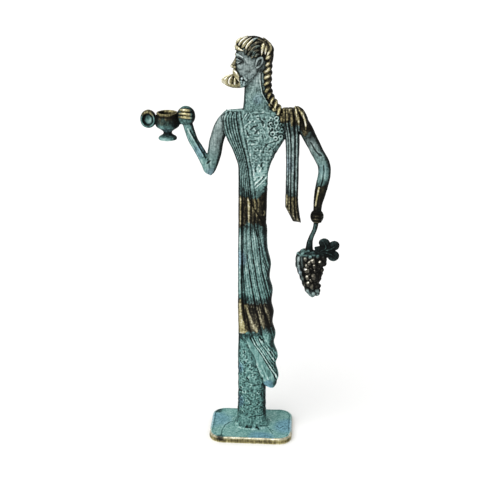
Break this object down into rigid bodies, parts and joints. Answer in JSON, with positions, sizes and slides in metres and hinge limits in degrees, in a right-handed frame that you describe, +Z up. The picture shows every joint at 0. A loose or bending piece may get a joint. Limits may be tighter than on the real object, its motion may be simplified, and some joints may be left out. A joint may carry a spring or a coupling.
{
  "type": "statuette",
  "caption": "Slender cast brass statuette of Dionysus with a wine cup, a folded cloak and grapes, standing on a low rounded plate.",
  "frame": {"origin": "centre of the plate's underside, on the surface that the statuette stands on", "axes": "+Z up along the figure, the front of the body and of the plate facing -Y, the raised cup towards -X and the grapes towards +X; the head looks towards -X"},
  "size_m": [0.1313, 0.0434, 0.28],
  "materials": {
    "figure": "cast brass with a blue-green verdigris, bands of dark brown and ridges rubbed back to bright metal",
    "base": "cast brass plate, verdigris on top and polished round the rim"
  },
  "bodies": {
    "root": {"figure": "figure", "base": "base"}
  },
  "joints": []
}
